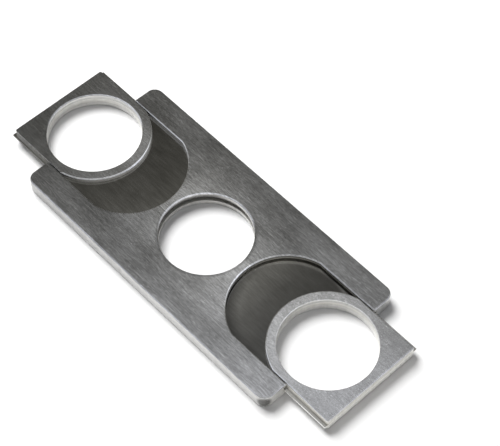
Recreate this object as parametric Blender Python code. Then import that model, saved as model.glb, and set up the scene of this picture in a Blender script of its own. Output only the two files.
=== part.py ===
"""Pocket cigar cutter with two guillotine blades, built as a flat steel sandwich.

X runs along the length, Y across it and Z up through the thickness. The origin
is on the underside, below the middle of the cutting hole. Both slides are drawn
out to their stops, so the cutting hole is clear.
"""

import math

import bmesh
import bpy
from mathutils import Matrix, Vector

MM = 0.001

# Body: two face plates with a guide rail along each long side
BODY_LENGTH = 86.3 * MM
BODY_WIDTH = 42.8 * MM
THICKNESS = 4.0 * MM
PLATE_THICKNESS = 1.1 * MM
CORNER_RADIUS = 2.6 * MM
CUT_HOLE_RADIUS = 11.8 * MM

# Finger rings, measured on a closed slide from the middle of the cutting hole
RING_CENTRE = 28.8 * MM
FINGER_HOLE_RADIUS = 12.1 * MM
NOTCH_HALF_WIDTH = 14.3 * MM
NOTCH_RADIUS = 14.8 * MM
RING_CORNER_RADIUS = 0.5 * MM

# Blades: a guided part with a hollow cutting edge, and a tang that stands out beside the ring
BLADE_THICKNESS = 0.45 * MM
BLADE_HALF_WIDTH = 15.85 * MM
EDGE_RADIUS = 12.0 * MM
EDGE_OVERLAP = 0.4 * MM
EDGE_LAND = 0.08 * MM
BEVEL_WIDTH = 2.2 * MM
TRAVEL = 13.35 * MM

# Guide rails: a channel for the blades, closed in by a stop lug near each end
CHANNEL_HALF_WIDTH = 16.05 * MM
STOP_HALF_WIDTH = 15.15 * MM
STOP_LENGTH = 3.6 * MM

# Hidden dowels that hold the stacks together
FRAME_DOWEL_RADIUS = 1.0 * MM
FRAME_DOWEL_X = 34.0 * MM
FRAME_DOWEL_Y = 18.8 * MM
RING_DOWEL_RADIUS = 0.8 * MM
RING_DOWEL_OUT = 11.2 * MM
DOWEL_DEPTH = 0.6 * MM

# Fits
SLIDE_GAP = 0.15 * MM
SEAM_GAP = 0.05 * MM
BLADE_GAP = 0.15 * MM
CHAMFER = 0.15 * MM
CUT_OVER = 1.0 * MM

HOLE_STEPS = 64
ARC_STEPS = 26
CORNER_STEPS = 6
DOWEL_STEPS = 16
SKETCH_TURN = math.radians(20)

# Places that follow from the sizes above
HALF_LENGTH = BODY_LENGTH / 2
HALF_WIDTH = BODY_WIDTH / 2
SLOT_BOTTOM = PLATE_THICKNESS
SLOT_TOP = THICKNESS - PLATE_THICKNESS
RING_HALF_WIDTH = NOTCH_HALF_WIDTH - SLIDE_GAP
RING_RADIUS = NOTCH_RADIUS - SLIDE_GAP
TANG_HALF_WIDTH = STOP_HALF_WIDTH - SLIDE_GAP
STOP_X = HALF_LENGTH - STOP_LENGTH
BLADE_SHOULDER = STOP_X - SLIDE_GAP - TRAVEL
EDGE_CENTRE = -EDGE_OVERLAP - EDGE_RADIUS
UPPER_BLADE_BOTTOM = SLOT_TOP - BLADE_GAP - BLADE_THICKNESS
LOWER_BLADE_BOTTOM = UPPER_BLADE_BOTTOM - BLADE_GAP - BLADE_THICKNESS
RING_DOWEL_X = RING_CENTRE + RING_DOWEL_OUT


def clear_scene():
    """Removes whatever the file opened with."""
    for obj in list(bpy.data.objects):
        bpy.data.objects.remove(obj, do_unlink=True)


def new_collection(name):
    """A collection linked to the scene."""
    collection = bpy.data.collections.new(name)
    bpy.context.scene.collection.children.link(collection)
    return collection


def steel(name, colour, roughness):
    """A bare steel finish."""
    material = bpy.data.materials.new(name)
    material.use_nodes = True
    shader = material.node_tree.nodes["Principled BSDF"]
    shader.inputs["Base Color"].default_value = (*colour, 1.0)
    shader.inputs["Metallic"].default_value = 1.0
    shader.inputs["Roughness"].default_value = roughness
    return material


def arc(centre, radius, start, end, steps):
    """Points along an arc about (centre, 0) or a corner, from start to end in degrees."""
    x, y = centre
    points = []
    for i in range(steps + 1):
        angle = math.radians(start + (end - start) * i / steps)
        points.append((x + radius * math.cos(angle), y + radius * math.sin(angle)))
    return points


def circle(centre, radius, steps):
    """Points once round a circle, the first not repeated."""
    return arc(centre, radius, 0, 360, steps)[:-1]


def turned(points):
    """The same points after half a turn about Z."""
    return [(-x, -y) for x, y in points]


def plate_outline():
    """A face plate: rounded corners, and a finger notch open at each end."""
    corner_x = HALF_LENGTH - CORNER_RADIUS
    corner_y = HALF_WIDTH - CORNER_RADIUS
    spread = math.degrees(math.asin(NOTCH_HALF_WIDTH / NOTCH_RADIUS))
    right = arc((corner_x, -corner_y), CORNER_RADIUS, -90, 0, CORNER_STEPS)
    right.append((HALF_LENGTH, -NOTCH_HALF_WIDTH))
    right += arc((RING_CENTRE, 0), NOTCH_RADIUS, 180 + spread, 180 - spread, ARC_STEPS)
    right.append((HALF_LENGTH, NOTCH_HALF_WIDTH))
    right += arc((corner_x, corner_y), CORNER_RADIUS, 0, 90, CORNER_STEPS)
    return right + turned(right)


def ring_outline():
    """A finger ring layer: square at the outer end and round at the inner one."""
    corner_x = HALF_LENGTH - RING_CORNER_RADIUS
    corner_y = RING_HALF_WIDTH - RING_CORNER_RADIUS
    spread = math.degrees(math.asin(RING_HALF_WIDTH / RING_RADIUS))
    points = arc((corner_x, -corner_y), RING_CORNER_RADIUS, -90, 0, CORNER_STEPS)
    points += arc((corner_x, corner_y), RING_CORNER_RADIUS, 0, 90, CORNER_STEPS)
    points += arc((RING_CENTRE, 0), RING_RADIUS, 180 - spread, 180 + spread, ARC_STEPS)
    return points


def blade_outline():
    """A blade: the tang in the ring, the guided part, and the hollow edge between two horns."""
    tang = [(HALF_LENGTH, -TANG_HALF_WIDTH), (HALF_LENGTH, TANG_HALF_WIDTH)]
    far_side = [
        (BLADE_SHOULDER, TANG_HALF_WIDTH),
        (BLADE_SHOULDER, BLADE_HALF_WIDTH),
        (EDGE_CENTRE, BLADE_HALF_WIDTH),
    ]
    edge = arc((EDGE_CENTRE, 0), EDGE_RADIUS, 90, -90, HOLE_STEPS // 2)
    near_side = [(x, -y) for x, y in reversed(far_side)]
    return tang + far_side + edge + near_side


def rail_outline():
    """The far guide rail: its outer side is the body's, its inner one the blades' channel."""
    corner_x = HALF_LENGTH - CORNER_RADIUS
    corner_y = HALF_WIDTH - CORNER_RADIUS
    points = [
        (-HALF_LENGTH, STOP_HALF_WIDTH),
        (-STOP_X, STOP_HALF_WIDTH),
        (-STOP_X, CHANNEL_HALF_WIDTH),
        (STOP_X, CHANNEL_HALF_WIDTH),
        (STOP_X, STOP_HALF_WIDTH),
        (HALF_LENGTH, STOP_HALF_WIDTH),
    ]
    points += arc((corner_x, corner_y), CORNER_RADIUS, 0, 90, CORNER_STEPS)
    points += arc((-corner_x, corner_y), CORNER_RADIUS, 90, 180, CORNER_STEPS)
    return points


def add_object(name, mesh, collection, parent, material=None):
    """A mesh object under its parent, with smooth round walls and crisp edges."""
    mesh.shade_smooth()
    mesh.set_sharp_from_angle(angle=math.radians(30))
    if material:
        mesh.materials.append(material)
    obj = bpy.data.objects.new(name, mesh)
    collection.objects.link(obj)
    obj.parent = parent
    return obj


def flat_mesh(name, outlines, thickness, chamfer=0.0):
    """A sheet cut to the outlines, the first its outside and the rest holes, about z = 0."""
    curve = bpy.data.curves.new(name, "CURVE")
    curve.dimensions = "2D"
    curve.fill_mode = "BOTH"
    curve.extrude = thickness / 2 - chamfer
    curve.bevel_depth = chamfer
    curve.bevel_resolution = 0
    curve.offset = -chamfer
    turn = Matrix.Rotation(SKETCH_TURN, 3, "Z")
    for outline in outlines:
        spline = curve.splines.new("POLY")
        spline.points.add(len(outline) - 1)
        for point, (x, y) in zip(spline.points, outline):
            spot = turn @ Vector((x, y, 0))
            point.co = (*spot, 1)
        spline.use_cyclic_u = True
    sketch = bpy.data.objects.new(name + "_sketch", curve)
    bpy.context.scene.collection.objects.link(sketch)
    graph = bpy.context.evaluated_depsgraph_get()
    mesh = bpy.data.meshes.new_from_object(sketch.evaluated_get(graph))
    bpy.data.objects.remove(sketch, do_unlink=True)
    sheet = bmesh.new()
    sheet.from_mesh(mesh)
    bmesh.ops.remove_doubles(sheet, verts=sheet.verts, dist=1e-7)
    bmesh.ops.recalc_face_normals(sheet, faces=sheet.faces)
    bmesh.ops.rotate(sheet, verts=sheet.verts, matrix=Matrix.Rotation(-SKETCH_TURN, 3, "Z"))
    sheet.to_mesh(mesh)
    sheet.free()
    return mesh


def round_mesh(name, bottom_radius, top_radius, height, steps):
    """A closed cylinder or cone about z = 0."""
    solid = bmesh.new()
    bmesh.ops.create_cone(
        solid,
        cap_ends=True,
        segments=steps,
        radius1=bottom_radius,
        radius2=top_radius,
        depth=height,
    )
    mesh = bpy.data.meshes.new(name)
    solid.to_mesh(mesh)
    solid.free()
    return mesh


class Builder:
    """Adds the sheets, dowels and cutters to their collections."""

    def __init__(self):
        self.parts = new_collection("guillotine_cigar_cutter")
        self.cutters = new_collection("cutters")

    def carrier(self, name, x=0.0, angle=0.0):
        """An empty on the slide axis that carries a group of pieces."""
        empty = bpy.data.objects.new(name, None)
        self.parts.objects.link(empty)
        empty.location.x = x
        empty.rotation_euler.z = math.radians(angle)
        return empty

    def sheet(self, name, outlines, bottom, top, parent, material, chamfer=0.0):
        """A flat piece between two heights."""
        mesh = flat_mesh(name, outlines, top - bottom, chamfer)
        obj = add_object(name, mesh, self.parts, parent, material)
        obj.location.z = (bottom + top) / 2
        return obj

    def dowel(self, name, place, radius, bottom, top, parent, material):
        """A plain pin that stands between two heights."""
        mesh = round_mesh(name, radius, radius, top - bottom, DOWEL_STEPS)
        obj = add_object(name, mesh, self.parts, parent, material)
        obj.location = (*place, (bottom + top) / 2)
        return obj

    def cut(self, target, name, mesh, place):
        """Cuts a round tool, at a place in the target's carrier, out of the target."""
        tool = add_object(name, mesh, self.cutters, target.parent)
        tool.location = place
        tool.hide_render = True
        tool.display_type = "WIRE"
        modifier = target.modifiers.new(name, "BOOLEAN")
        modifier.operation = "DIFFERENCE"
        modifier.solver = "EXACT"
        modifier.object = tool

    def blind_holes(self, target, places, radius, bottom, top):
        """Dowel holes that stop inside the target."""
        for number, place in enumerate(places, 1):
            name = f"{target.name}_dowel_hole_{number}"
            mesh = round_mesh(name, radius, radius, top - bottom, DOWEL_STEPS)
            self.cut(target, name, mesh, (*place, (bottom + top) / 2))


def build_frame(builder, finishes):
    """The fixed sandwich: face plates, guide rails and their dowels."""
    carrier = builder.carrier("frame")
    places = [
        (x, y)
        for x in (-FRAME_DOWEL_X, FRAME_DOWEL_X)
        for y in (-FRAME_DOWEL_Y, FRAME_DOWEL_Y)
    ]
    hole_radius = FRAME_DOWEL_RADIUS + SEAM_GAP
    dowel_bottom = SLOT_BOTTOM - DOWEL_DEPTH
    dowel_top = SLOT_TOP + DOWEL_DEPTH

    outlines = [plate_outline(), circle((0, 0), CUT_HOLE_RADIUS, HOLE_STEPS)]
    rear = builder.sheet("rear_plate", outlines, 0, SLOT_BOTTOM, carrier, finishes["plate"], CHAMFER)
    builder.blind_holes(rear, places, hole_radius, dowel_bottom - SEAM_GAP, SLOT_BOTTOM + CUT_OVER)
    front = builder.sheet("front_plate", outlines, SLOT_TOP, THICKNESS, carrier, finishes["plate"], CHAMFER)
    builder.blind_holes(front, places, hole_radius, SLOT_TOP - CUT_OVER, dowel_top + SEAM_GAP)

    for side, angle in (("far", 0), ("near", 180)):
        holes = [
            circle((x, FRAME_DOWEL_Y), hole_radius, DOWEL_STEPS)
            for x in (-FRAME_DOWEL_X, FRAME_DOWEL_X)
        ]
        rail = builder.sheet(
            f"{side}_guide_rail",
            [rail_outline()] + holes,
            SLOT_BOTTOM + SEAM_GAP,
            SLOT_TOP - SEAM_GAP,
            carrier,
            finishes["rail"],
        )
        rail.rotation_euler.z = math.radians(angle)

    for x, y in places:
        end = "left" if x < 0 else "right"
        side = "near" if y < 0 else "far"
        builder.dowel(
            f"frame_dowel_{end}_{side}",
            (x, y),
            FRAME_DOWEL_RADIUS,
            dowel_bottom,
            dowel_top,
            carrier,
            finishes["dowel"],
        )


def build_blade(builder, name, bottom, bevel_up, holes, parent, material):
    """A blade with its bevel ground on one face, up or down."""
    top = bottom + BLADE_THICKNESS
    outlines = [blade_outline(), circle((RING_CENTRE, 0), FINGER_HOLE_RADIUS, HOLE_STEPS)] + holes
    blade = builder.sheet(name, outlines, bottom, top, parent, material)

    rise = BLADE_THICKNESS - EDGE_LAND
    slope = BEVEL_WIDTH / rise
    below = EDGE_RADIUS - slope * rise
    above = EDGE_RADIUS + slope * 2 * rise
    start = bottom + EDGE_LAND if bevel_up else top - EDGE_LAND
    radii = (below, above) if bevel_up else (above, below)
    middle = start + rise / 2 if bevel_up else start - rise / 2
    mesh = round_mesh(name + "_bevel", *radii, 3 * rise, HOLE_STEPS)
    builder.cut(blade, name + "_bevel", mesh, (EDGE_CENTRE, 0, middle))


def build_slide(builder, side, finishes, upper):
    """A slide: its blade's tang and a spacer, held between the two plates of the finger ring."""
    angle = 180 if side == "left" else 0
    offset = -TRAVEL if side == "left" else TRAVEL
    carrier = builder.carrier(f"{side}_slide", offset, angle)

    blade_bottom = UPPER_BLADE_BOTTOM if upper else LOWER_BLADE_BOTTOM
    blade_top = blade_bottom + BLADE_THICKNESS
    rear_top = SLOT_BOTTOM if upper else blade_bottom - SEAM_GAP
    front_bottom = blade_top + SEAM_GAP if upper else SLOT_TOP
    spacer_bottom = rear_top + SEAM_GAP if upper else blade_top + SEAM_GAP
    spacer_top = blade_bottom - SEAM_GAP if upper else front_bottom - SEAM_GAP
    dowel_bottom = SLOT_BOTTOM - DOWEL_DEPTH
    dowel_top = SLOT_TOP + DOWEL_DEPTH

    places = [(RING_DOWEL_X, -RING_DOWEL_OUT), (RING_DOWEL_X, RING_DOWEL_OUT)]
    hole_radius = RING_DOWEL_RADIUS + SEAM_GAP
    dowel_holes = [circle(place, hole_radius, DOWEL_STEPS) for place in places]
    finger_hole = circle((RING_CENTRE, 0), FINGER_HOLE_RADIUS, HOLE_STEPS)
    ring = [ring_outline(), finger_hole]

    build_blade(builder, f"{side}_blade", blade_bottom, upper, dowel_holes, carrier, finishes["blade"])
    builder.sheet(
        f"{side}_ring_spacer",
        ring + dowel_holes,
        spacer_bottom,
        spacer_top,
        carrier,
        finishes["rail"],
    )
    rear = builder.sheet(f"{side}_ring_rear", ring, 0, rear_top, carrier, finishes["ring"], CHAMFER)
    builder.blind_holes(rear, places, hole_radius, dowel_bottom - SEAM_GAP, rear_top + CUT_OVER)
    front = builder.sheet(
        f"{side}_ring_front", ring, front_bottom, THICKNESS, carrier, finishes["ring"], CHAMFER
    )
    builder.blind_holes(front, places, hole_radius, front_bottom - CUT_OVER, dowel_top + SEAM_GAP)

    for place in places:
        on_far_side = (place[1] > 0) != (angle == 180)
        builder.dowel(
            f"{side}_ring_dowel_{'far' if on_far_side else 'near'}",
            place,
            RING_DOWEL_RADIUS,
            dowel_bottom,
            dowel_top,
            carrier,
            finishes["dowel"],
        )


def main():
    clear_scene()
    builder = Builder()
    finishes = {
        "plate": steel("brushed_plate_steel", (0.44, 0.44, 0.43), 0.36),
        "ring": steel("brushed_ring_steel", (0.46, 0.46, 0.45), 0.36),
        "blade": steel("polished_blade_steel", (0.40, 0.39, 0.37), 0.18),
        "rail": steel("cut_strip_steel", (0.52, 0.51, 0.48), 0.45),
        "dowel": steel("ground_dowel_steel", (0.55, 0.55, 0.54), 0.25),
    }
    build_frame(builder, finishes)
    build_slide(builder, "left", finishes, upper=True)
    build_slide(builder, "right", finishes, upper=False)


main()
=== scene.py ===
import math

import bmesh
import bpy
from mathutils import Matrix, Vector, geometry


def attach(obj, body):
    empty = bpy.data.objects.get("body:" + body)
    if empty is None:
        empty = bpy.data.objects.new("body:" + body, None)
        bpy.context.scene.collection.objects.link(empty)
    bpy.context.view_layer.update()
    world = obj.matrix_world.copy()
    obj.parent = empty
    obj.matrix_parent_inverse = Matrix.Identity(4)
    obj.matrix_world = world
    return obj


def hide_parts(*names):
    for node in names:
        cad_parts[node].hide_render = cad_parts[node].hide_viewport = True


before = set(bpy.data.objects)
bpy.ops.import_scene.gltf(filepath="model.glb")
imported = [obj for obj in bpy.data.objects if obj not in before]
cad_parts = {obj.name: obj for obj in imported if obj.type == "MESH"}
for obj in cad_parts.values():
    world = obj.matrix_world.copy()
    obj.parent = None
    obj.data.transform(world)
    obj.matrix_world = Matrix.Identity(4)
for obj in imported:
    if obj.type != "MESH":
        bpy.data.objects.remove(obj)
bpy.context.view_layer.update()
mm = 0.001
print("frame loaded,", len(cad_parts), "nodes")


# camera, from a fit to the photo's edges
camera = {
    "place": (170.26, -144.87, 337.04),      # mm
    "right": (0.68235, 0.73103, 0.00109),
    "forward": (-0.41053, 0.38443, -0.82685),
    "lens": 118.9,
    "sensor": 36.0,
    "clip": (0.01, 20.0),                    # metres
}


def addCamera():
    data = bpy.data.cameras.new("photoCamera")
    data.lens = camera["lens"]
    data.sensor_width = camera["sensor"]
    data.clip_start, data.clip_end = camera["clip"]
    cam = bpy.data.objects.new("photoCamera", data)
    bpy.context.scene.collection.objects.link(cam)
    forward = Vector(camera["forward"]).normalized()
    right = Vector(camera["right"])
    right = (right - forward * right.dot(forward)).normalized()
    up = right.cross(forward)
    turn = Matrix((right, up, -forward)).transposed().to_4x4()
    cam.matrix_world = Matrix.Translation(Vector(camera["place"]) * mm) @ turn
    bpy.context.scene.camera = cam
    print("camera set")


# node helpers: a value is a number, a vector, a colour or another node's output
def setOrLink(tree, socket, value):
    if isinstance(value, bpy.types.NodeSocket):
        tree.links.new(value, socket)
    else:
        socket.default_value = value


def mathStep(tree, operation, *values):
    node = tree.nodes.new("ShaderNodeMath")
    node.operation = operation
    for socket, value in zip(node.inputs, values):
        setOrLink(tree, socket, value)
    return node.outputs["Value"]


def vectorStep(tree, operation, first, second):
    node = tree.nodes.new("ShaderNodeVectorMath")
    node.operation = operation
    setOrLink(tree, node.inputs[0], first)
    setOrLink(tree, node.inputs[1], second)
    return node.outputs["Vector" if operation == "MULTIPLY" else "Value"]


def splitAxes(tree, vector):
    node = tree.nodes.new("ShaderNodeSeparateXYZ")
    tree.links.new(vector, node.inputs["Vector"])
    return node.outputs


def blend(tree, values, shares):
    total = 0.0
    for value, share in zip(values, shares):
        total = mathStep(tree, "MULTIPLY_ADD", value, share, total)
    return total


def mapRange(tree, value, fromEnds, toEnds=(0.0, 1.0), smooth=False):
    node = tree.nodes.new("ShaderNodeMapRange")
    if smooth:
        node.interpolation_type = "SMOOTHSTEP"
    for name, end in zip(("From Min", "From Max", "To Min", "To Max"), (*fromEnds, *toEnds)):
        node.inputs[name].default_value = end
    tree.links.new(value, node.inputs["Value"])
    return node.outputs["Result"]


def ramp(tree, value, stops):
    node = tree.nodes.new("ShaderNodeValToRGB")
    points = node.color_ramp.elements
    while len(points) < len(stops):
        points.new(0.5)
    for point, (position, colour) in zip(points, stops):
        point.position = position
        point.color = (*colour, 1) if isinstance(colour, tuple) else (colour, colour, colour, 1)
    tree.links.new(value, node.inputs["Fac"])
    return node.outputs["Color"]


def mixColour(tree, share, first, second):
    node = tree.nodes.new("ShaderNodeMix")
    node.data_type = "RGBA"
    for index, value in ((0, share), (6, first), (7, second)):     # the colour sockets are 6 and 7
        setOrLink(tree, node.inputs[index], value)
    return node.outputs[2]


def mixShader(tree, share, first, second):
    node = tree.nodes.new("ShaderNodeMixShader")
    for socket, value in zip(node.inputs, (share, first, second)):
        tree.links.new(value, socket)
    return node.outputs[0]


def background(tree, colour):
    node = tree.nodes.new("ShaderNodeBackground")
    setOrLink(tree, node.inputs["Color"], colour)
    return node.outputs[0]


# white floor, a soft key, a low warm card, and a room that only the steel mirrors; sizes in metres
studio = {
    "floor": {"size": 6.0, "colour": (0.88, 0.88, 0.88), "rough": 0.9},
    "key": {
        "from": (-0.59, 0.06, 0.80), "distance": 1.2, "size": 0.8, "power": 21.5,
        "colour": (1.0, 1.0, 1.0)},
    "card": {
        "from": (0.90, -0.42, 0.06), "distance": 0.4, "size": 0.045, "power": 0.95,
        "colour": (1.0, 0.97, 0.91)},
    "fill": (0.166, 0.166, 0.168),
    "backdrop": (0.95, 0.95, 0.95),
}
room = {
    "along": (0.714, -0.70, 0.0),            # the stops run from the far left to the near right
    "ceiling": {
        "strength": 1.3,
        "stops": (
            (0.08, 0.05), (0.18, 0.09), (0.213, 0.10), (0.23, 0.21), (0.25, 0.43),
            (0.27, 0.74), (0.31, 1.02), (0.42, 0.72), (0.6, 0.46))},
    "wall": {
        "strength": 1.2,
        "stops": ((0.15, 0.28), (0.45, 0.55), (0.58, 1.3), (0.72, 1.3), (0.85, 0.85))},
    "dimTint": (1.06, 1.03, 0.90),
    "lightTint": (0.955, 0.985, 1.075),
    "wallTop": (0.40, 0.60),                 # height where the walls turn into ceiling
}


def addFloor():
    values = studio["floor"]
    bpy.ops.mesh.primitive_plane_add(size=values["size"])
    floor = bpy.context.object
    floor.name = "studioFloor"
    mat = bpy.data.materials.new("paperFloor")
    mat.use_nodes = True
    shader = mat.node_tree.nodes["Principled BSDF"]
    shader.inputs["Base Color"].default_value = (*values["colour"], 1)
    shader.inputs["Roughness"].default_value = values["rough"]
    shader.inputs["Specular IOR Level"].default_value = 0.0
    floor.data.materials.append(mat)


def addLamp(name):
    values = studio[name]
    data = bpy.data.lights.new(name + "Light", "AREA")
    data.shape = "DISK"
    data.size = values["size"]
    data.energy = values["power"]
    data.color = values["colour"]
    light = bpy.data.objects.new(name + "Light", data)
    bpy.context.scene.collection.objects.link(light)
    way = Vector(values["from"]).normalized()
    light.location = way * values["distance"]
    light.rotation_euler = way.to_track_quat("Z", "Y").to_euler()
    light.visible_glossy = False
    light.visible_camera = False


def roomStops(part):
    dim = Vector(room["dimTint"])
    light = Vector(room["lightTint"])
    strength = room[part]["strength"]
    return [(at, tuple(dim.lerp(light, level) * level * strength)) for at, level in room[part]["stops"]]


def addRoom():
    world = bpy.data.worlds.new("studioRoom")
    bpy.context.scene.world = world
    world.use_nodes = True
    tree = world.node_tree
    tree.nodes.clear()
    way = tree.nodes.new("ShaderNodeTexCoord").outputs["Generated"]
    along = vectorStep(tree, "DOT_PRODUCT", way, Vector(room["along"]).normalized())
    share = mapRange(tree, along, (-1.0, 1.0))
    wall = ramp(tree, share, roomStops("wall"))
    ceiling = ramp(tree, share, roomStops("ceiling"))
    upper = mapRange(tree, splitAxes(tree, way)["Z"], room["wallTop"], smooth=True)
    mirrored = background(tree, mixColour(tree, upper, wall, ceiling))
    fill = background(tree, (*studio["fill"], 1))
    seen = background(tree, (*studio["backdrop"], 1))
    ray = tree.nodes.new("ShaderNodeLightPath").outputs
    lit = mixShader(tree, ray["Is Glossy Ray"], fill, mirrored)
    whole = mixShader(tree, ray["Is Camera Ray"], lit, seen)
    out = tree.nodes.new("ShaderNodeOutputWorld")
    tree.links.new(whole, out.inputs["Surface"])


def addStudio():
    addRoom()
    addLamp("key")
    addLamp("card")
    addFloor()
    bpy.context.scene.view_settings.view_transform = "Standard"
    print("studio set up")


# steel finishes; on a grained one the highlights are drawn out across the grain, which runs along X
grained = {
    "stretch": 0.3,
    "turn": 0.25,
}
noiseEnds = (0.3, 0.7)                       # most of a noise lies between these


def newFinish(name, rough, metal=1.0, hasGrain=False):
    mat = bpy.data.materials.new(name)
    mat.use_nodes = True
    tree = mat.node_tree
    shader = tree.nodes["Principled BSDF"]
    shader.inputs["Metallic"].default_value = metal
    shader.inputs["Roughness"].default_value = rough
    if hasGrain:
        shader.inputs["Anisotropic"].default_value = grained["stretch"]
        shader.inputs["Anisotropic Rotation"].default_value = grained["turn"]
        tangent = tree.nodes.new("ShaderNodeTangent")
        tangent.direction_type = "UV_MAP"
        tangent.uv_map = "grain"
        tree.links.new(tangent.outputs["Tangent"], shader.inputs["Tangent"])
    place = tree.nodes.new("ShaderNodeTexCoord").outputs["Object"]
    return mat, tree, shader, place


# a layer is its repeats per metre along X, Y and Z, its detail, its roughness and its offset
def noiseLayer(tree, place, layer, short=1.0):
    (along, across, up), detail, rough, offset = layer
    mapping = tree.nodes.new("ShaderNodeMapping")
    mapping.inputs["Scale"].default_value = (along * short, across, up)
    mapping.inputs["Location"].default_value = offset
    noise = tree.nodes.new("ShaderNodeTexNoise")
    noise.inputs["Scale"].default_value = 1.0
    noise.inputs["Detail"].default_value = detail
    noise.inputs["Roughness"].default_value = rough
    tree.links.new(place, mapping.inputs["Vector"])
    tree.links.new(mapping.outputs["Vector"], noise.inputs["Vector"])
    return noise.outputs["Fac"]


def shade(tone, factor):
    return tuple(min(1.0, c * factor) for c in tone)


def toneRamp(tree, value, tone, stops):
    return ramp(tree, value, [(at, shade(tone, factor)) for at, factor in stops])


def vary(tree, shader, value, rough, swing):
    low, high = swing
    tree.links.new(mapRange(tree, value, noiseEnds, (rough * low, rough * high)), shader.inputs["Roughness"])


def roughen(tree, shader, height, depth):
    bump = tree.nodes.new("ShaderNodeBump")
    bump.inputs["Distance"].default_value = depth
    tree.links.new(height, bump.inputs["Height"])
    tree.links.new(bump.outputs["Normal"], shader.inputs["Normal"])


# a spot paints light or shade onto the steel by how far it is from a point, in shares of its reach, both in
# mm
def addPaintedLight(tree, place, colour, spots):
    for spot in spots:
        away = vectorStep(tree, "DISTANCE", place, Vector(spot["at"]) * mm)
        factor = ramp(tree, mathStep(tree, "DIVIDE", away, spot["reach"] * mm), spot["stops"])
        colour = vectorStep(tree, "MULTIPLY", colour, factor)
    return colour


brushed = {
    "hair": ((110, 6500, 6500), 4.0, 0.6, (0, 0, 0)),        # long along X, hair thin across
    "fine": ((420, 4000, 4000), 2.0, 0.5, (2, 9, 4)),
    "broad": ((90, 1700, 1700), 2.0, 0.5, (3, 7, 1)),
    "smudge": ((70, 130, 130), 3.0, 0.55, (5, 2, 9)),
    "fleck": ((2300, 2900, 2900), 1.0, 0.5, (8, 4, 3)),
    "scratch": ((90, 2900, 2900), 1.0, 0.4, (1, 6, 2)),
    "short": {"plate": 1.8, "left": 2.5, "right": 6.0},      # how much shorter the grain of each is
    "grainShares": (0.15, 0.35, 0.25, 0.40),                 # of hair, fine, broad and smudge
    "grainStops": {
        "plate": ((0.42, 0.54), (0.575, 1.0), (0.73, 1.56)),
        "left": ((0.42, 0.68), (0.575, 1.0), (0.73, 1.38)),
        "right": ((0.42, 0.68), (0.575, 1.0), (0.73, 1.38))},
    "fleckStops": ((0.69, 0.0), (0.75, 1.0)),
    "scratchStops": ((0.70, 0.0), (0.77, 1.0)),
    "markShare": 0.6,
    "markLight": 1.7,
    "wearShares": (0.4, 0.6),                                # of fine and smudge
    "roughSwing": (0.84, 1.16),
    "hairDepth": 1.6e-6,                                     # metres
    # painted sheen: each ring lightest beside its notch; painted shade dims the cutting hole's rounded lip
    "spots": {
        "left": {"at": (-27.0, 2.0, 4.0), "reach": 30.0, "stops": ((0.08, 1.3), (0.45, 1.12), (0.95, 0.85))},
        "right": {"at": (31.0, 9.0, 4.0), "reach": 30.0, "stops": ((0.15, 1.4), (0.5, 1.06), (1.0, 0.74))},
        "plate": {"at": (0.0, 0.0, 4.0), "reach": 14.0, "stops": ((0.87, 0.72), (0.90, 1.0))}},
}
# painted sheen: a lighter band across the middle of each brushed face, fading toward the ends
paintedSheen = {
    "light": 1.26,                           # how much lighter the painted sheen makes the middle
    "middle": 1.7,                           # mm
    "lean": 0.32,                            # the painted sheen band runs from far left to near right
    "across": (0.0, 21.8),                   # mm from its middle, where the fade starts and ends
    "along": (9.8, 26.4),
    "ends": 0.2,                             # share that is left toward the ends
}


def paintedSheenFactor(tree, place):
    axes = splitAxes(tree, place)
    leaned = mathStep(tree, "MULTIPLY_ADD", axes["X"], paintedSheen["lean"], axes["Y"])
    across = mathStep(tree, "ABSOLUTE", mathStep(tree, "SUBTRACT", leaned, paintedSheen["middle"] * mm))
    along = mathStep(tree, "ABSOLUTE", axes["X"])
    acrossEnds = [end * mm for end in paintedSheen["across"]]
    alongEnds = [end * mm for end in paintedSheen["along"]]
    share = mathStep(
        tree, "MULTIPLY", mapRange(tree, across, acrossEnds, (1.0, 0.0), smooth=True),
        mapRange(tree, along, alongEnds, (1.0, paintedSheen["ends"]), smooth=True))
    return mathStep(tree, "MULTIPLY_ADD", share, paintedSheen["light"], 1.0)


def brushedSteel(name, tone, rough, kind):
    mat, tree, shader, place = newFinish(name, rough, hasGrain=True)
    short = brushed["short"][kind]
    hair, fine, broad, scratch = (
        noiseLayer(tree, place, brushed[layer], short) for layer in ("hair", "fine", "broad", "scratch"))
    smudge, fleck = (noiseLayer(tree, place, brushed[layer]) for layer in ("smudge", "fleck"))
    grain = blend(tree, (hair, fine, broad, smudge), brushed["grainShares"])
    tint = toneRamp(tree, grain, tone, brushed["grainStops"][kind])
    flecks = ramp(tree, fleck, brushed["fleckStops"])
    scratches = ramp(tree, scratch, brushed["scratchStops"])
    marks = mathStep(tree, "MAXIMUM", flecks, scratches)
    markShare = mathStep(tree, "MULTIPLY", marks, brushed["markShare"])
    colour = mixColour(tree, markShare, tint, (*shade(tone, brushed["markLight"]), 1))
    # painted sheen across the middle of the face
    colour = vectorStep(tree, "MULTIPLY", colour, paintedSheenFactor(tree, place))
    # painted sheen and shade from this kind's spot
    colour = addPaintedLight(tree, place, colour, [brushed["spots"][kind]])
    tree.links.new(colour, shader.inputs["Base Color"])
    vary(tree, shader, blend(tree, (fine, smudge), brushed["wearShares"]), rough, brushed["roughSwing"])
    roughen(tree, shader, hair, brushed["hairDepth"])
    return mat


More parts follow.
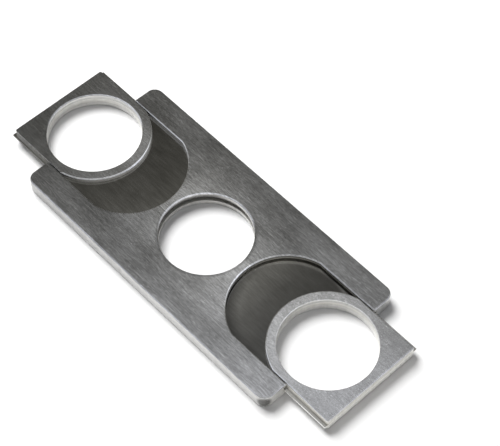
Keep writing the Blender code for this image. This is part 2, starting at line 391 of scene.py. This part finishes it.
polished = {
    "fine": ((240, 2700, 2700), 3.0, 0.6, (0, 0, 0)),
    "haze": ((120, 120, 120), 3.0, 0.6, (2, 5, 1)),
    "filmShares": (0.6, 0.4),                # of fine and haze
    "filmStops": ((0.34, 0.80), (0.52, 1.0), (0.70, 1.22)),
    "roughSwing": (0.8, 1.2),
    "fineDepth": 4e-7,                       # metres
    "paintedShadeReach": 50.0,                      # mm from the middle that the painted shade's stops run over
    # painted shade: each blade darkens toward its ring
    "paintedShade": {
        "left": ((0.30, 0.82), (0.40, 0.68), (0.60, 0.58), (0.74, 0.58), (0.80, 0.95)),
        "right": ((0.30, 0.84), (0.36, 0.70), (0.46, 0.42), (0.58, 0.28), (0.74, 0.28), (0.80, 0.95))},
    # painted reflection: a light band on the right blade along the far left of its notch; painted shade: a
    # dark band along the near left
    "spots": (
        {"at": (29.3, -1.2, 2.25), "reach": 20.0,
         "stops": ((0.735, 1.0), (0.77, 2.3), (0.83, 2.3), (0.87, 1.0))},
        {"at": (31.5, 3.0, 2.25), "reach": 23.0,
         "stops": ((0.67, 1.0), (0.79, 0.42), (0.86, 0.42), (0.90, 1.0))}),
}


def polishedSteel(name, tone, rough, side):
    mat, tree, shader, place = newFinish(name, rough, hasGrain=True)
    fine, haze = (noiseLayer(tree, place, polished[layer]) for layer in ("fine", "haze"))
    film = blend(tree, (fine, haze), polished["filmShares"])
    tint = toneRamp(tree, film, tone, polished["filmStops"])
    out = mathStep(tree, "ABSOLUTE", splitAxes(tree, place)["X"])
    # painted shade, darker toward the ring
    paintedShade = ramp(tree, mathStep(tree, "DIVIDE", out, polished["paintedShadeReach"] * mm), polished["paintedShade"][side])
    colour = addPaintedLight(tree, place, vectorStep(tree, "MULTIPLY", tint, paintedShade), polished["spots"])
    tree.links.new(colour, shader.inputs["Base Color"])
    vary(tree, shader, film, rough, polished["roughSwing"])
    roughen(tree, shader, fine, polished["fineDepth"])
    return mat


cutEdge = {
    "lines": ((900, 900, 90), 3.0, 0.6, (0, 0, 0)),          # faint upright lines from cutting
    "layers": ((60, 60, 5200), 2.0, 0.5, (4, 1, 6)),         # and hairlines along the edge
    "shares": (0.5, 0.5),                                    # of layers and lines
    "stops": ((0.32, 0.86), (0.52, 1.0), (0.70, 1.10)),
    "roughSwing": (0.8, 1.2),
    "depth": 1.2e-6,                                         # metres
}
# painted light and shade on cut edges: a dark reflection painted on the near right corner, a painted
# highlight in the cutting hole, and painted shade on the near wall that grows darker toward the left
edgeLightAndShade = {
    "paintedCornerReflection": {"at": (42.35, -20.6, 2.0), "reach": 2.1, "stops": ((0.60, 0.22), (1.0, 1.0))},
    "shine": {"at": (1.5, 11.8, 4.0), "reach": 9.0, "stops": ((0.35, 3.0), (1.0, 1.0))},
    "paintedLeftShade": {"at": (-43.0, -21.4, 2.0), "reach": 50.0, "stops": ((0.2, 0.72), (1.0, 1.0))},
}


def cutSteel(name, tone, rough, metal, *spots):
    mat, tree, shader, place = newFinish(name, rough, metal)
    lines, layers = (noiseLayer(tree, place, cutEdge[layer]) for layer in ("lines", "layers"))
    mixed = blend(tree, (layers, lines), cutEdge["shares"])
    tint = toneRamp(tree, mixed, tone, cutEdge["stops"])
    colour = addPaintedLight(tree, place, tint, [edgeLightAndShade[spot] for spot in spots])
    tree.links.new(colour, shader.inputs["Base Color"])
    vary(tree, shader, mixed, rough, cutEdge["roughSwing"])
    roughen(tree, shader, lines, cutEdge["depth"])
    return mat


sides = ("left", "right")
plateFace = brushedSteel("brushedPlateFace", tone=(0.364, 0.364, 0.364), rough=0.20, kind="plate")
# painted light: the right ring is a lighter copy of the left ring's steel
ringTone = {"left": (0.46, 0.46, 0.46), "right": (0.50, 0.50, 0.50)}
ringFace = {side: brushedSteel(side + "BrushedRing", ringTone[side], rough=0.20, kind=side) for side in sides}
bladeTone = (0.415, 0.408, 0.385)
bladeFace = {side: polishedSteel(side + "PolishedBlade", bladeTone, rough=0.15, side=side) for side in sides}

# tone, roughness and how much of the edge mirrors, then its painted spots of light and shade
plateEdge = cutSteel("linishedEdge", (0.62, 0.617, 0.605), 0.32, 0.68, "paintedCornerReflection", "paintedLeftShade")
ringEdge = cutSteel("polishedRingEdge", (0.78, 0.775, 0.757), 0.32, 0.62)
# painted shade: the finger holes' walls are a darker copy of the ring edge
shadedRingBore = cutSteel("paintedShadeRingBore", (0.60, 0.595, 0.58), 0.32, 0.62)
# painted shade: a darker copy of the cut edge for the front notch walls and the left ring's straight sides
sideShadeEdge = cutSteel("paintedShadeSideEdge", (0.40, 0.395, 0.38), 0.26, 1.0)
# painted shade: the cutting hole's wall is a dark copy of the cut edge, with a painted highlight
holeShadeEdge = cutSteel("paintedShadeHoleEdge", (0.20, 0.197, 0.19), 0.26, 1.0, "shine")
# painted light: the rear bores are a brighter copy of the cut edge
litRearBore = cutSteel("paintedLightRearBore", (0.92, 0.91, 0.88), 0.38, 0.4)
# painted shade: the left tang's edge is a near black copy of the cut edge
tangShade = cutSteel("paintedShadeTangEdge", (0.14, 0.138, 0.13), 0.30, 1.0)
stripEdge = cutSteel("cutStripEdge", (0.80, 0.79, 0.75), 0.36, 0.6)
# painted light: a brighter copy of the cut edge for the right tang and the right ring's sides
paintedLightEdge = cutSteel("paintedLightEdge", (0.95, 0.945, 0.92), 0.34, 0.5)
millFace = cutSteel("millInnerFace", (0.62, 0.61, 0.58), 0.5, 0.5)
dowelSkin = cutSteel("groundDowel", (0.60, 0.60, 0.59), 0.28, 1.0)
tangEdge = {"left": tangShade, "right": paintedLightEdge}
ringSide = {"left": sideShadeEdge, "right": paintedLightEdge}
print("finishes made")


# flat sheets with rounded edges, drawn in mm; the first outline is the outside, the rest are holes
faceSkin, wallSkin, holeSkin, sideSkin, innerSkin = range(5)     # places in a piece's list of finishes
sheet = {
    "edgeSteps": 5,                          # strips across a rounded edge
    "mitreLimit": 0.2,
    "uvPerMm": 0.01,
    "sharpAngle": 38,
    "flatFrom": 0.999,                       # faces this level are shaded flat
}
arcSteps = {
    "corner": 12,
    "mouth": 4,
    "notch": 72,
    "hole": 160,
    "ringCorner": 6,
    "ringRound": 80,
    "bladeEdge": 80,
}


def arcPoints(centre, radius, start, end, steps):
    x, y = centre
    angles = [math.radians(start + (end - start) * i / steps) for i in range(steps + 1)]
    return [(x + radius * math.cos(a), y + radius * math.sin(a)) for a in angles]


def roundHole(centre, radius):
    return arcPoints(centre, radius, 360, 0, arcSteps["hole"])[:-1]


def turned(points):
    return [(-x, -y) for x, y in points]


def inwardSteps(points):
    out = []
    for i, here in enumerate(points):
        back = Vector(here) - Vector(points[i - 1])
        ahead = Vector(points[(i + 1) % len(points)]) - Vector(here)
        a = Vector((-back.y, back.x)).normalized()
        b = Vector((-ahead.y, ahead.x)).normalized()
        out.append((a + b) / max(sheet["mitreLimit"], 1 + a.dot(b)))
    return out


def inside(spot, points):
    x, y = spot
    odd = False
    for (x1, y1), (x2, y2) in zip(points, points[1:] + points[:1]):
        if (y1 > y) != (y2 > y) and x < x1 + (y - y1) * (x2 - x1) / (y2 - y1):
            odd = not odd
    return odd


# inset and height of each ring of points, from the low face up to the high one
def edgeRings(low, high, lowEdge, highEdge):
    steps = sheet["edgeSteps"]
    quarter = [math.pi / 2 * i / steps for i in range(steps + 1)]
    rings = [(0, low)]
    if lowEdge:
        wide, deep = lowEdge
        rings = [(wide * (1 - math.sin(a)), low + deep * (1 - math.cos(a))) for a in quarter]
    if not highEdge:
        return rings + [(0, high)]
    wide, deep = highEdge
    return rings + [(wide * (1 - math.cos(a)), high - deep * (1 - math.sin(a))) for a in quarter]


def addLevels(bm, points, rings, shares, ends, wallStep):
    low, high = ends
    inward = inwardSteps(points)
    levels = []
    for step, (inset, z) in enumerate(rings):
        end = low if step <= wallStep else high
        level = []
        for p, way, share in zip(points, inward, shares):
            spot = Vector(p) + way * inset * share
            level.append(bm.verts.new(Vector((*spot, end + (z - end) * share)) * mm))
        levels.append(level)
    return levels


def addWalls(bm, grain, points, levels, rings, skins, wallStep):
    scale = sheet["uvPerMm"]
    run = [0.0]
    for p, q in zip(points, points[1:] + points[:1]):
        run.append(run[-1] + (Vector(q) - Vector(p)).length)
    for row in range(len(levels) - 1):
        lower, upper = levels[row], levels[row + 1]
        base, top = rings[row][1], rings[row + 1][1]
        for i in range(len(points)):
            j = (i + 1) % len(points)
            face = bm.faces.new((lower[i], lower[j], upper[j], upper[i]))
            if row == wallStep:
                face.material_index = skins[i]
            corners = ((run[i], base), (run[i + 1], base), (run[i + 1], top), (run[i], top))
            for loop, (u, v) in zip(face.loops, corners):
                loop[grain].uv = (u * scale, v * scale)


def addCap(bm, grain, levels, isHigh, skin):
    scale = sheet["uvPerMm"] / mm
    outlines = [[(v.co.x / mm, v.co.y / mm) for v in level] for level in levels]
    verts = sum(levels, [])
    spots = sum(outlines, [])
    edges = []
    for level in levels:
        start, count = len(edges), len(level)
        edges += [(start + i, start + (i + 1) % count) for i in range(count)]
    found = geometry.delaunay_2d_cdt([Vector(s) for s in spots], edges, [], 0, 1e-6)
    triangles, origins = found[2], found[3]
    for triangle in triangles:
        ids = [origins[corner][0] for corner in triangle]
        middle = [sum(spots[i][axis] for i in ids) / 3 for axis in (0, 1)]
        if not inside(middle, outlines[0]) or any(inside(middle, hole) for hole in outlines[1:]):
            continue
        face = bm.faces.new([verts[i] for i in (ids if isHigh else reversed(ids))])
        face.material_index = skin
        for loop in face.loops:
            loop[grain].uv = (loop.vert.co.x * scale, loop.vert.co.y * scale)


def plainWall(isHole, p, q):
    return wallSkin


def fullEdge(isHole, p):
    return 1.0


# an edge is how far it rounds in over the face and how far down the wall, first outside, then at holes,
# and edgeShare says how much of that each point of the outline gets
def sheetMesh(name, outlines, low, high, lowEdges=None, highEdges=None, inner=None, wallKind=plainWall,
              edgeShare=fullEdge):
    bm = bmesh.new()
    grain = bm.loops.layers.uv.new("grain")
    wallStep = sheet["edgeSteps"] if lowEdges else 0
    lowLevels, highLevels = [], []
    for points in outlines:
        isHole = points is not outlines[0]
        rings = edgeRings(low, high, lowEdges and lowEdges[isHole], highEdges and highEdges[isHole])
        shares = [edgeShare(isHole, p) for p in points]
        skins = [wallKind(isHole, p, q) for p, q in zip(points, points[1:] + points[:1])]
        levels = addLevels(bm, points, rings, shares, (low, high), wallStep)
        addWalls(bm, grain, points, levels, rings, skins, wallStep)
        lowLevels.append(levels[0])
        highLevels.append(levels[-1])
    addCap(bm, grain, lowLevels, False, innerSkin if inner == "low" else faceSkin)
    addCap(bm, grain, highLevels, True, innerSkin if inner == "high" else faceSkin)
    mesh = bpy.data.meshes.new(name)
    bm.to_mesh(mesh)
    bm.free()
    mesh.set_sharp_from_angle(angle=math.radians(sheet["sharpAngle"]))
    for face in mesh.polygons:
        face.use_smooth = abs(face.normal.z) < sheet["flatFrom"]
    return mesh


def addPiece(name, mesh, body, slotName, node, *finishes):
    for finish in finishes:
        mesh.materials.append(finish)
    piece = bpy.data.objects.new(name, mesh)
    bpy.context.scene.collection.objects.link(piece)
    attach(piece, body)
    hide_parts(node)


# face plates
plate = {
    "length": 86.3,
    "width": 42.8,
    "thick": 1.1,
    "rearThick": 1.4,                        # the rear plate reaches in toward the blades
    "stack": 4.0,
    "corner": 2.6,
    "cutHole": 11.8,
    "ringCentre": 28.8,
    "notchHalf": 14.3,
    "notchRadius": 14.8,
    "mouthRound": 0.35,
    "edges": ((0.32, 0.30), (0.56, 0.16)),
}
innerEdges = ((0.01, 0.01), (0.01, 0.01))
slack = 0.05                                 # mm, when walls are told apart by where they stand
rim = {
    "rubbed": (-0.73, 0.68),                 # the side of each hole that is rubbed round
    "crisp": 0.2,                            # share of the rounding left on the other side
    "blend": 0.3,
}


def rimShare(p, centre):
    toward = (Vector(p) - Vector(centre)).normalized().dot(Vector(rim["rubbed"]))
    along = min(1.0, max(0.0, 0.5 + 0.5 * toward / rim["blend"]))
    return rim["crisp"] + (1 - rim["crisp"]) * along


def plateOutline():
    x = plate["length"] / 2
    corner = plate["corner"]
    cornerX = x - corner
    cornerY = plate["width"] / 2 - corner
    half = plate["notchHalf"]
    mouth = plate["mouthRound"]
    notch = plate["notchRadius"]
    sweep = math.degrees(math.asin(half / notch))
    right = arcPoints((cornerX, -cornerY), corner, -90, 0, arcSteps["corner"])
    right += arcPoints((x - mouth, -half - mouth), mouth, 0, 90, arcSteps["mouth"])
    right += arcPoints((plate["ringCentre"], 0), notch, 180 + sweep, 180 - sweep, arcSteps["notch"])
    right += arcPoints((x - mouth, half + mouth), mouth, -90, 0, arcSteps["mouth"])
    right += arcPoints((cornerX, cornerY), corner, 0, 90, arcSteps["corner"])
    return right + turned(right)


def plateWall(isHole, p, q):
    inLength = max(abs(p[0]), abs(q[0])) < plate["length"] / 2 - plate["mouthRound"] + slack
    inNotch = inLength and abs(p[1] + q[1]) / 2 < plate["notchHalf"] + 2 * slack
    return holeSkin if isHole else sideSkin if inNotch else wallSkin


def plateShare(isHole, p):
    return rimShare(p, (0, 0)) if isHole else 1.0


def addPlates():
    outlines = [plateOutline(), roundHole((0, 0), plate["cutHole"])]
    top = plate["stack"]
    front = sheetMesh(
        "frontPlate", outlines, top - plate["thick"], top, innerEdges, plate["edges"],
        "low", plateWall, plateShare)
    addPiece("frontPlate", front, "frame", "plate_steel", "front_plate",
             plateFace, plateEdge, holeShadeEdge, sideShadeEdge, millFace)
    rear = sheetMesh(
        "rearPlate", outlines, 0, plate["rearThick"], plate["edges"], innerEdges,
        "high", plateWall, plateShare)
    addPiece("rearPlate", rear, "frame", "plate_steel", "rear_plate",
             plateFace, plateEdge, litRearBore, ringEdge, millFace)
    print("face plates made")


# guide rails between the plates
rail = {
    "channelHalf": 16.05,
    "stopHalf": 15.15,
    "stopLength": 3.6,
    "seam": 0.008,
}


def railOutline():
    x = plate["length"] / 2
    corner = plate["corner"]
    cornerX = x - corner
    cornerY = plate["width"] / 2 - corner
    stop = x - rail["stopLength"]
    inner = rail["channelHalf"]
    lug = rail["stopHalf"]
    points = [(-x, lug), (-stop, lug), (-stop, inner), (stop, inner), (stop, lug), (x, lug)]
    points += arcPoints((cornerX, cornerY), corner, 0, 90, arcSteps["corner"])
    points += arcPoints((-cornerX, cornerY), corner, 90, 180, arcSteps["corner"])
    return points


def addRails():
    low = plate["rearThick"] + rail["seam"]
    high = plate["stack"] - plate["thick"] - rail["seam"]
    for name, node, points in (
        ("farRail", "far_guide_rail", railOutline()),
        ("nearRail", "near_guide_rail", turned(railOutline())),
    ):
        mesh = sheetMesh(name, [points], low, high, innerEdges, innerEdges)
        addPiece(name, mesh, "frame", "strip_steel", node, stripEdge, plateEdge)
    print("guide rails made")


# slides: ring plates, spacer and blade, drawn as closed and then pulled out by the travel
slide = {
    "travel": 13.35,
    "play": 0.15,
    "fingerHole": 12.1,
    "cornerRound": 0.5,
    "edges": {"left": ((0.36, 0.34), (0.45, 0.16)), "right": ((0.32, 0.32), (0.12, 0.16))},
    "sharpSide": 0.08,                       # share of the edge left on the left ring's straight sides
    "seam": 0.008,
}
blade = {
    "thick": 0.55,
    "gap": 0.05,
    "half": 15.85,
    "tangHalf": 15.0,
    "shoulder": 26.05,
    "edgeRadius": 12.0,
    "edgeCentre": -12.4,
    "land": 0.08,
    "bevel": 1.0,                            # narrow enough to stay under the plate when drawn out
    "bevelSteps": 160,
    "sharpAngle": 5,
}


def onSlide(points, side):
    moved = [(x + slide["travel"], y) for x, y in points]
    return turned(moved) if side == "left" else moved


def ringHalf():
    return plate["notchHalf"] - slide["play"]


def ringOutline():
    x = plate["length"] / 2
    half = ringHalf()
    radius = plate["notchRadius"] - slide["play"]
    corner = slide["cornerRound"]
    sweep = math.degrees(math.asin(half / radius))
    points = arcPoints((x - corner, -half + corner), corner, -90, 0, arcSteps["ringCorner"])
    points += arcPoints((x - corner, half - corner), corner, 0, 90, arcSteps["ringCorner"])
    points += arcPoints((plate["ringCentre"], 0), radius, 180 - sweep, 180 + sweep, arcSteps["ringRound"])
    return points


def boredWall(isHole, p, q):
    return holeSkin if isHole else wallSkin


def frontRingWall(isHole, p, q):
    onSide = abs(p[1] + q[1]) / 2 > ringHalf() - slack
    return sideSkin if onSide else boredWall(isHole, p, q)


def leftRingShare(isHole, p):
    if isHole:
        return rimShare(p, onSlide([(plate["ringCentre"], 0)], "left")[0])
    onRound = abs(p[1]) < ringHalf() - slack and abs(p[0]) < plate["length"] / 2
    return 1.0 if onRound else slide["sharpSide"]


def bladeOutline():
    x = plate["length"] / 2
    tang = blade["tangHalf"]
    back = blade["edgeCentre"]
    half = blade["half"]
    farSide = [(blade["shoulder"], tang), (blade["shoulder"], half), (back, half)]
    edge = arcPoints((back, 0), blade["edgeRadius"], 90, -90, arcSteps["bladeEdge"])
    return [(x, -tang), (x, tang)] + farSide + edge + [(px, -py) for px, py in reversed(farSide)]


# a cone as steep as the bevel, which reaches past both faces of the blade
def bevelCone(side, low, high, faceUp):
    rise = blade["thick"] - blade["land"]
    near = blade["edgeRadius"] - blade["bevel"]
    far = blade["edgeRadius"] + 2 * blade["bevel"]
    centre = onSlide([(blade["edgeCentre"], 0)], side)[0]
    start = low + blade["land"] if faceUp else high - blade["land"]
    middle = start + rise / 2 if faceUp else start - rise / 2
    cone = bmesh.new()
    bmesh.ops.create_cone(
        cone, cap_ends=True, segments=blade["bevelSteps"], depth=3 * rise * mm,
        radius1=(near if faceUp else far) * mm, radius2=(far if faceUp else near) * mm)
    bmesh.ops.translate(cone, verts=cone.verts, vec=Vector((*centre, middle)) * mm)
    mesh = bpy.data.meshes.new("bevelCone")
    cone.to_mesh(mesh)
    cone.free()
    return mesh


def grindBevel(mesh, coneMesh):
    work = bpy.data.objects.new("bevelWork", mesh)
    cone = bpy.data.objects.new("bevelCone", coneMesh)
    for obj in (cone, work):
        bpy.context.scene.collection.objects.link(obj)
    cut = work.modifiers.new("grind", "BOOLEAN")
    cut.operation = "DIFFERENCE"
    cut.solver = "EXACT"
    cut.object = cone
    graph = bpy.context.evaluated_depsgraph_get()
    ground = bpy.data.meshes.new_from_object(work.evaluated_get(graph))
    for obj in (cone, work):
        bpy.data.objects.remove(obj, do_unlink=True)
    ground.shade_smooth()
    ground.set_sharp_from_angle(angle=math.radians(blade["sharpAngle"]))
    return ground


# low and high face of each layer, where the upper slide has its blade just under the front plate
def slideHeights(upper):
    under = plate["stack"] - plate["thick"]
    layer = blade["gap"] + blade["thick"]
    seam = slide["seam"]
    bladeLow = under - (layer if upper else 2 * layer)
    bladeHigh = bladeLow + blade["thick"]
    if upper:
        frontLow, rearTop = bladeHigh + seam, plate["thick"]
        spacer = (rearTop + seam, bladeLow - seam)
    else:
        frontLow, rearTop = under, bladeLow - seam
        spacer = (bladeHigh + seam, frontLow - seam)
    return (frontLow, plate["stack"]), (0, rearTop), spacer, (bladeLow, bladeHigh)


def addSlide(side, upper):
    body = side + "_slide"
    front, rear, spacer, bladeEnds = slideHeights(upper)
    hole = onSlide(roundHole((plate["ringCentre"], 0), slide["fingerHole"]), side)
    ring = [onSlide(ringOutline(), side), hole]
    edges = slide["edges"][side]
    share = leftRingShare if side == "left" else fullEdge

    name = side + "RingFront"
    mesh = sheetMesh(name, ring, *front, innerEdges, edges, wallKind=frontRingWall, edgeShare=share)
    addPiece(name, mesh, body, "ring_steel", side + "_ring_front",
             ringFace[side], ringEdge, shadedRingBore, ringSide[side])

    name = side + "RingRear"
    mesh = sheetMesh(name, ring, *rear, edges, innerEdges, wallKind=boredWall)
    addPiece(name, mesh, body, "ring_steel", side + "_ring_rear", ringFace[side], ringEdge, litRearBore)

    name = side + "RingSpacer"
    mesh = sheetMesh(name, ring, *spacer, innerEdges, innerEdges)
    addPiece(name, mesh, body, "strip_steel", side + "_ring_spacer", stripEdge, stripEdge)

    name = side + "Blade"
    flat = sheetMesh(name, [onSlide(bladeOutline(), side), hole], *bladeEnds, wallKind=boredWall)
    mesh = grindBevel(flat, bevelCone(side, *bladeEnds, upper))
    addPiece(name, mesh, body, "blade_steel", side + "_blade", bladeFace[side], tangEdge[side], stripEdge)
    print(side, "slide made")


def finishDowels():
    for name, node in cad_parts.items():
        if "dowel" in name:
            node.data.materials.clear()
            node.data.materials.append(dowelSkin)
    print("dowels finished")


addCamera()
addStudio()
addPlates()
addRails()
addSlide("left", upper=True)
addSlide("right", upper=False)
finishDowels()
